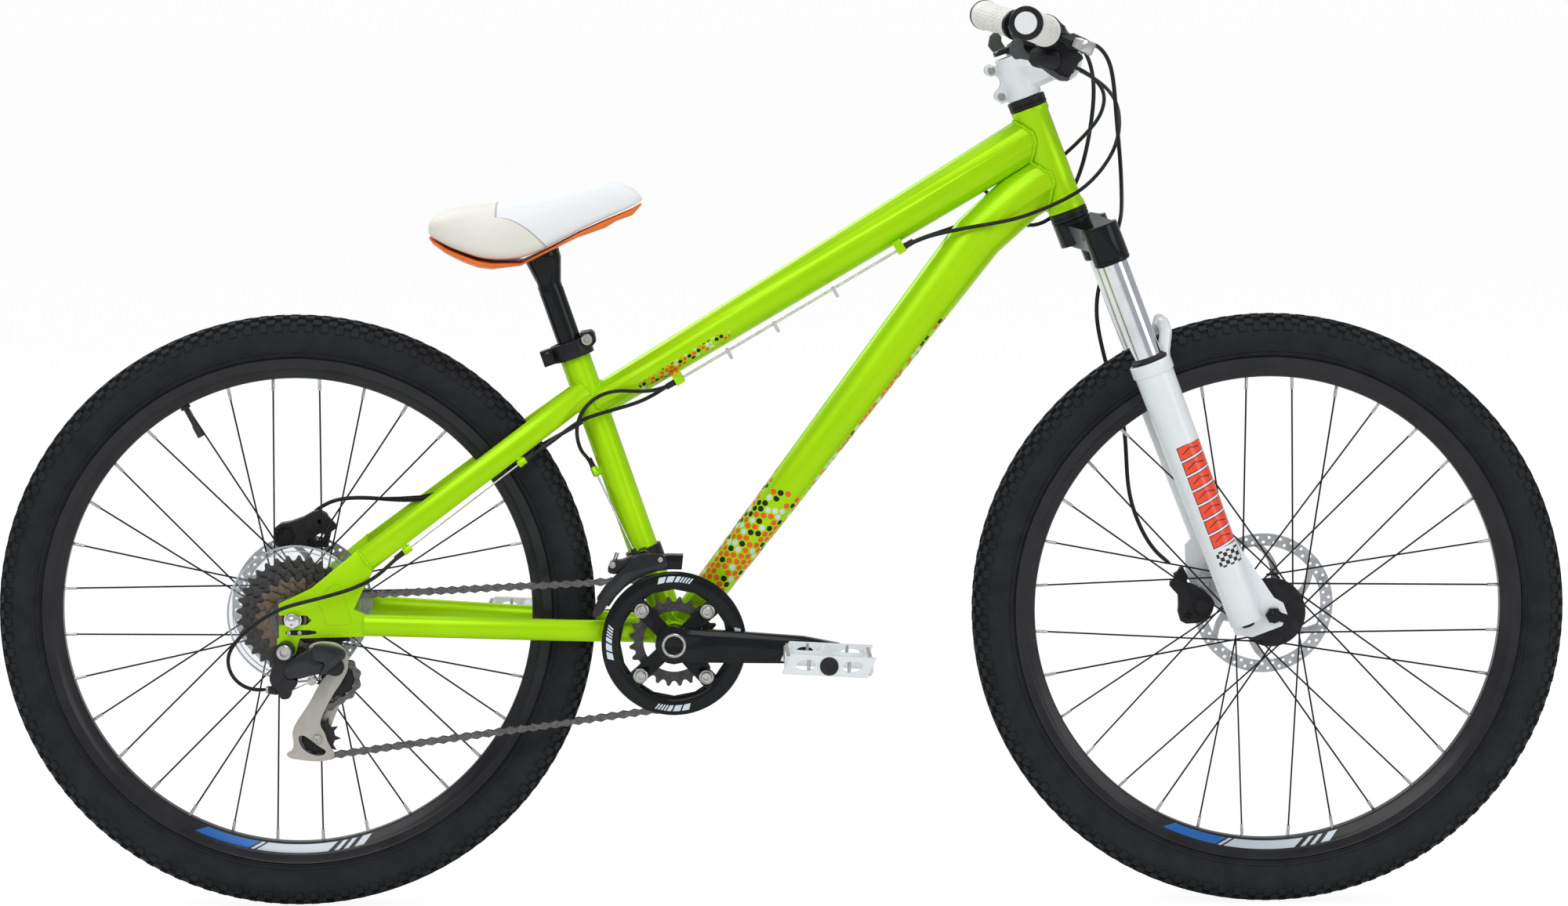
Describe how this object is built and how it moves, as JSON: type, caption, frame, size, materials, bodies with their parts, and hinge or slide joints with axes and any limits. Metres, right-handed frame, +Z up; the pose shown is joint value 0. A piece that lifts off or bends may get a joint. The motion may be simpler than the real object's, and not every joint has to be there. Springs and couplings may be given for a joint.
{
  "type": "dirt jump bicycle",
  "caption": "Hardtail dirt jump bicycle with a low sloped frame, telescopic fork, disc brakes, chain drive, high saddle on a post and riser handlebar.",
  "frame": {"origin": "on the ground, midway between the two axles, in the plane of the wheels", "axes": "+X forwards, +Y to the rider's left, +Z up"},
  "size_m": [1.769, 0.6786, 1.0214],
  "materials": {
    "lime": "gloss pearl",
    "white_paint": "gloss",
    "black_paint": "gloss",
    "black_alloy": "satin anodised",
    "black_plastic": "satin",
    "grey_plastic": "satin",
    "silver_steel": "brushed",
    "chrome_steel": "polished",
    "chain_steel": "oiled",
    "tyre_rubber": "matte",
    "grip_rubber": "matte",
    "saddle_skin": "smooth",
    "orange_shell": "gloss",
    "white_plastic": "gloss",
    "hose_black": "satin"
  },
  "bodies": {
    "frame": {"head_tube": "lime", "top_tube": "lime", "down_tube": "lime", "seat_tube": "lime", "right_chainstay": "lime", "left_chainstay": "lime", "right_seatstay": "lime", "left_seatstay": "lime", "rear_brake_caliper": "black_plastic", "rear_brake_hose": "hose_black", "rear_shift_cable": "hose_black", "front_shift_cable": "hose_black", "rear_axle": "silver_steel", "seat_clamp": "black_alloy", "headset_lower_cup": "black_alloy", "headset_upper_cup": "black_alloy", "front_derailleur_band": "black_alloy", "derailleur_bracket": "black_alloy", "chain": "chain_steel"},
    "seat": {"seatpost": "black_paint", "saddle_shell": "orange_shell", "saddle_cover": "saddle_skin"},
    "steering": {"fork_crown": "chrome_steel", "stem": "white_paint", "handlebar": "black_paint", "right_grip": "grip_rubber", "left_grip": "grip_rubber", "right_brake_body": "black_paint", "left_brake_body": "black_paint", "right_shifter": "black_plastic", "front_brake_hose": "hose_black"},
    "fork_slider": {"fork_lowers": "white_paint", "front_axle": "silver_steel", "front_brake_caliper": "black_plastic"},
    "front_wheel": {"front_tyre": "tyre_rubber", "front_rim": "black_alloy", "front_spoked_hub": "black_alloy", "front_rotor": "silver_steel"},
    "rear_wheel": {"rear_tyre": "tyre_rubber", "rear_rim": "black_alloy", "rear_spoked_hub": "black_alloy", "rear_rotor": "silver_steel"},
    "cassette": {"cassette": "chain_steel"},
    "crank": {"right_crank_arm": "black_paint", "left_crank_arm": "black_paint", "bash_guard": "black_plastic", "large_chainring": "black_alloy", "small_chainring": "silver_steel"},
    "right_pedal": {"right_pedal": "white_plastic"},
    "left_pedal": {"left_pedal": "white_plastic"},
    "derailleur_link": {"derailleur_link": "black_alloy"},
    "derailleur_knuckle": {"derailleur_knuckle": "black_alloy"},
    "derailleur_cage": {"derailleur_cage": "silver_steel"},
    "guide_pulley": {"guide_pulley": "black_plastic"},
    "tension_pulley": {"tension_pulley": "black_plastic"},
    "front_derailleur_cage": {"front_derailleur_cage": "black_alloy"},
    "right_brake_lever": {"right_brake_lever": "silver_steel"},
    "left_brake_lever": {"left_brake_lever": "silver_steel"},
    "right_thumb_lever": {"right_thumb_lever": "grey_plastic"},
    "left_thumb_lever": {"left_thumb_lever": "grey_plastic"}
  },
  "joints": [
    {"name": "steering_turn", "type": "hinge", "parent": "frame", "child": "steering", "pos_m": [0.3189, 0, 0.7888], "axis": [-0.3551, 0, 0.9348], "range_deg": [-65, 65], "deforming": ["rear_brake_hose", "rear_shift_cable", "front_shift_cable"]},
    {"name": "seatpost_height", "type": "slide", "parent": "frame", "child": "seat", "axis": [-0.3305, 0, 0.9438], "range_m": [-0.05, 0.08]},
    {"name": "fork_travel", "type": "slide", "parent": "steering", "child": "fork_slider", "axis": [-0.3551, 0, 0.9348], "range_m": [0, 0.1], "stiffness_N_per_m": 7000, "springref_m": -0.012, "deforming": ["front_brake_hose"]},
    {"name": "front_wheel_spin", "type": "hinge", "parent": "fork_slider", "child": "front_wheel", "pos_m": [0.5485, 0, 0.336], "axis": [0, 1, 0], "continuous": true},
    {"name": "rear_wheel_spin", "type": "hinge", "parent": "frame", "child": "rear_wheel", "pos_m": [-0.5485, 0, 0.336], "axis": [0, 1, 0], "continuous": true},
    {"name": "crank_spin", "type": "hinge", "parent": "frame", "child": "crank", "pos_m": [-0.124, 0, 0.306], "axis": [0, 1, 0], "continuous": true, "deforming": ["chain"]},
    {"name": "cassette_spin", "type": "hinge", "parent": "frame", "child": "cassette", "pos_m": [-0.5485, 0, 0.336], "axis": [0, 1, 0], "continuous": true},
    {"name": "right_pedal_spin", "type": "hinge", "parent": "crank", "child": "right_pedal", "pos_m": [0.04592, -0.139, 0.30066], "axis": [0, 1, 0], "continuous": true},
    {"name": "left_pedal_spin", "type": "hinge", "parent": "crank", "child": "left_pedal", "pos_m": [-0.29392, 0.139, 0.31134], "axis": [0, 1, 0], "continuous": true},
    {"name": "derailleur_shift", "type": "hinge", "parent": "frame", "child": "derailleur_link", "pos_m": [-0.55278, -0.06793, 0.27378], "axis": [0, 0.6428, 0.766], "range_deg": [0, 40]},
    {"name": "derailleur_knuckle_turn", "type": "hinge", "parent": "derailleur_link", "child": "derailleur_knuckle", "pos_m": [-0.512, -0.0825, 0.286], "axis": [0, 0.6428, 0.766], "range_deg": [-40, 0]},
    {"name": "derailleur_cage_swing", "type": "hinge", "parent": "derailleur_knuckle", "child": "derailleur_cage", "pos_m": [-0.5, -0.0715, 0.286], "axis": [0, 1, 0], "range_deg": [-35, 20], "stiffness_Nm_per_rad": 1.5, "springref_deg": 34.38},
    {"name": "guide_pulley_spin", "type": "hinge", "parent": "derailleur_cage", "child": "guide_pulley", "pos_m": [-0.4998, -0.0625, 0.268], "axis": [0, 1, 0], "continuous": true},
    {"name": "tension_pulley_spin", "type": "hinge", "parent": "derailleur_cage", "child": "tension_pulley", "pos_m": [-0.5216, -0.0625, 0.20254], "axis": [0, 1, 0], "continuous": true},
    {"name": "front_derailleur_shift", "type": "slide", "parent": "frame", "child": "front_derailleur_cage", "axis": [0, 1, 0], "range_m": [0, 0.007]},
    {"name": "right_brake_pull", "type": "hinge", "parent": "steering", "child": "right_brake_lever", "pos_m": [0.32565, -0.18773, 0.97411], "axis": [-0.3616, 0.0108, -0.9323], "range_deg": [0, 12], "stiffness_Nm_per_rad": 2, "springref_deg": -17.19},
    {"name": "left_brake_pull", "type": "hinge", "parent": "steering", "child": "left_brake_lever", "pos_m": [0.32565, 0.18773, 0.97411], "axis": [0.3616, 0.0108, 0.9323], "range_deg": [0, 12], "stiffness_Nm_per_rad": 2, "springref_deg": -17.19},
    {"name": "right_gear_push", "type": "hinge", "parent": "steering", "child": "right_thumb_lever", "pos_m": [0.28038, -0.1602, 0.95046], "axis": [-0.2019, -0.0314, -0.9789], "range_deg": [0, 25], "stiffness_Nm_per_rad": 1, "springref_deg": -11.46},
    {"name": "left_gear_push", "type": "hinge", "parent": "steering", "child": "left_thumb_lever", "pos_m": [0.28038, 0.1602, 0.95046], "axis": [0.2019, -0.0314, 0.9789], "range_deg": [0, 25], "stiffness_Nm_per_rad": 1, "springref_deg": -11.46}
  ],
  "couplings": [
    {"joint": "cassette_spin", "follows": "crank_spin", "ratio": 3.2727},
    {"joint": "derailleur_knuckle_turn", "follows": "derailleur_shift", "ratio": -1},
    {"joint": "guide_pulley_spin", "follows": "crank_spin", "ratio": -3.2727},
    {"joint": "tension_pulley_spin", "follows": "crank_spin", "ratio": 3.2727}
  ]
}
